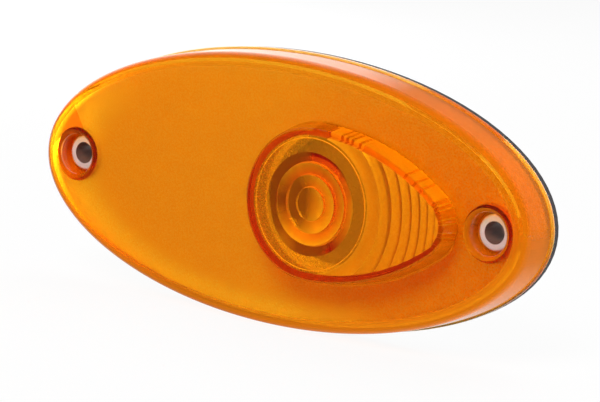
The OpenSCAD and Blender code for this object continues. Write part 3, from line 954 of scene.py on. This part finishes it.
lens.data.materials.clear()
lens.data.materials.append(amber)
lens.data.shade_smooth()
marks = [(*wall_marks(face), haze_and_light_mark(face)) for face in lens.data.polygons]
mark_names = ("etch", "milk", "stain", "haze_and_painted_light")
for name, numbers in zip(mark_names, zip(*marks)):
    lens.data.attributes.new(name, "FLOAT", "FACE").data.foreach_set("value", numbers)
lens.data.set_sharp_from_angle(angle=math.radians(SHARP_ANGLE))
even = lens.modifiers.new("even_normals", "WEIGHTED_NORMAL")
even.keep_sharp = True
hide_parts("lens")
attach(lens, "root")
for name, finish in (("etched", ETCHED), ("optic", OPTIC), ("polished", POLISHED)):
    print(name, "faces:", sum(1 for mark in marks if mark[0] == finish))

# %% [markdown]
# ## Mouldings and seals
# The base and the tray are pale mouldings, the gasket is grey foam, and the seals are silicone
# and rubber. They are plain pieces, so they keep their solids and only get a finish. One flat
# colour would look like paint, and a photo would need unwrapping, so a noise in object space
# mixes two close tones and raises a matching grain.

# %% Helpers for finishes
SILKY = 0.00001


def dress(material, *names):
    """Gives some nodes of the frame one material."""
    for name in names:
        slots = nodes[name].data.materials
        slots.clear()
        slots.append(material)


def speckled(name, dark, light, scale, roughness, grain=SILKY):
    """A finish whose colour varies a little between two tones, with grain in metres of depth."""
    material = new_material(name, light, roughness)
    noise = add_grain(material, scale, grain)
    tree = material.node_tree
    tones = mix_colours(tree, noise, (*dark, 1), (*light, 1))
    plug(tree, tree.nodes["Principled BSDF"].inputs["Base Color"], tones)
    return material


print("silky grain:", SILKY, "m deep")

# %% Base, tray, foam and seals
MATT = 0.00002
OPEN_CELLS = 0.0002

pale_moulding = speckled("pale_moulding", dark=(0.7, 0.68, 0.64), light=(0.78, 0.76, 0.72),
                         scale=1500, roughness=0.55, grain=MATT)
tray_white = speckled("tray_white", dark=(0.8, 0.79, 0.76), light=(0.88, 0.87, 0.84),
                      scale=300, roughness=0.35)
foam = speckled("foam", dark=(0.02, 0.018, 0.018), light=(0.13, 0.12, 0.125),
                scale=1800, roughness=0.95, grain=OPEN_CELLS)
rubber = speckled("rubber", dark=(0.015, 0.015, 0.015), light=(0.03, 0.03, 0.03),
                  scale=900, roughness=0.7, grain=MATT)
silicone = speckled("silicone", dark=(0.68, 0.66, 0.62), light=(0.76, 0.74, 0.7),
                    scale=700, roughness=0.5)
dark_silicone = speckled("dark_silicone", dark=(0.05, 0.035, 0.04), light=(0.09, 0.06, 0.065),
                         scale=700, roughness=0.5)
dress(pale_moulding, "base")
dress(tray_white, "reflector_tray")
dress(foam, "gasket")
dress(rubber, "cable_grommet")
dress(silicone, "sleeve_seal_left", "sleeve_seal_right")
dress(dark_silicone, "sealing_bead")
print("materials so far:", len(bpy.data.materials))

# %% [markdown]
# ## Sleeves
# A milky nylon sleeve in each well takes the screw's pressure. Light goes a little way into
# nylon, so it gets some subsurface scattering. Its bore lies in shade, and that shade is painted:
# a black disc in the hole would look pasted on, so the material itself darkens close to the
# bore's radius.

# %% Sleeves
BORE_R = 2.4
BORE_EDGE = (0.00001, 0.0001)
PAINTED_BORE_SHADE = (0.26, 0.14, 0.11)
NYLON_DEPTH = (0.002, 0.0012, 0.001)
NYLON_SCATTER = 0.3

nylon = speckled("sleeve_nylon", dark=(0.72, 0.6, 0.57), light=(0.8, 0.7, 0.67), scale=250, roughness=0.3)
sleeve = nylon.node_tree
sleeve_shader = sleeve.nodes["Principled BSDF"]
sleeve_shader.inputs["Subsurface Weight"].default_value = NYLON_SCATTER
sleeve_shader.inputs["Subsurface Radius"].default_value = NYLON_DEPTH
place = add_node(sleeve, "SeparateXYZ", Vector=add_node(sleeve, "NewGeometry").outputs["Position"]).outputs
across = calculate(sleeve, "SUBTRACT", calculate(sleeve, "ABSOLUTE", place["X"]), HOLE_X * MM)
around_axis = add_node(sleeve, "CombineXYZ", X=across, Y=place["Z"]).outputs[0]
from_axis = calculate_vector(sleeve, "LENGTH", around_axis)
# painted shade: the colour darkens inside the bore's radius
in_bore = remap(sleeve, from_axis, [BORE_R * MM + edge for edge in BORE_EDGE], (1, 0))
nylon_tone = sleeve_shader.inputs["Base Color"].links[0].from_socket
plug(sleeve, sleeve_shader.inputs["Base Color"], mix_colours(sleeve, in_bore, nylon_tone, (*PAINTED_BORE_SHADE, 1)))
dress(nylon, "sleeve_left", "sleeve_right")
print("sleeve nodes:", len(sleeve.nodes))

# %% [markdown]
# ## Circuit
# Behind the tray, a board carries the diode, its dome, resistors, a driver and two solder
# posts. Almost nothing of it shows through the frosted plate, but the eye looks straight at the
# diode. A picture of a board would do for the rest, but plain speckled finishes on the real
# pieces stay sharp at any distance and need no image.

# %% Circuit
DOME_GRAIN = 0.000005

solder_mask = speckled("solder_mask", dark=(0.24, 0.15, 0.13), light=(0.32, 0.2, 0.18),
                       scale=400, roughness=0.3)
tinned = speckled("tinned", dark=(0.45, 0.44, 0.42), light=(0.6, 0.59, 0.57), scale=800, roughness=0.3)
tinned.node_tree.nodes["Principled BSDF"].inputs["Metallic"].default_value = 1.0
lamp_body = speckled("lamp_body", dark=(0.6, 0.58, 0.52), light=(0.7, 0.68, 0.62), scale=500, roughness=0.4)
lamp_dome = new_material("lamp_dome", colour=(0.95, 0.8, 0.35), roughness=0.08,
                         Transmission_Weight=0.6, IOR=1.41)
add_grain(lamp_dome, scale=300, depth=DOME_GRAIN)
chip_bodies = speckled("chip_bodies", dark=(0.015, 0.015, 0.016), light=(0.03, 0.03, 0.032),
                       scale=1200, roughness=0.5)
ceramic = speckled("ceramic", dark=(0.36, 0.26, 0.15), light=(0.45, 0.34, 0.2), scale=600, roughness=0.4)
dress(solder_mask, "circuit_board")
dress(tinned, "board_screws", "wire_posts")
dress(lamp_body, "led_body")
dress(lamp_dome, "led_dome")
dress(chip_bodies, "resistor_bank", "driver_chip", "blocking_diode", "surge_diode")
dress(ceramic, "buffer_capacitor")
print("dressed nodes:", len(nodes) - 1)

# %% [markdown]
# ## Finish
# The colours are shown as they are written. A stronger view transform would flatter the
# picture, but the finishes could then no longer be judged by their numbers.

# %% Finish
bpy.context.scene.view_settings.view_transform = "Standard"
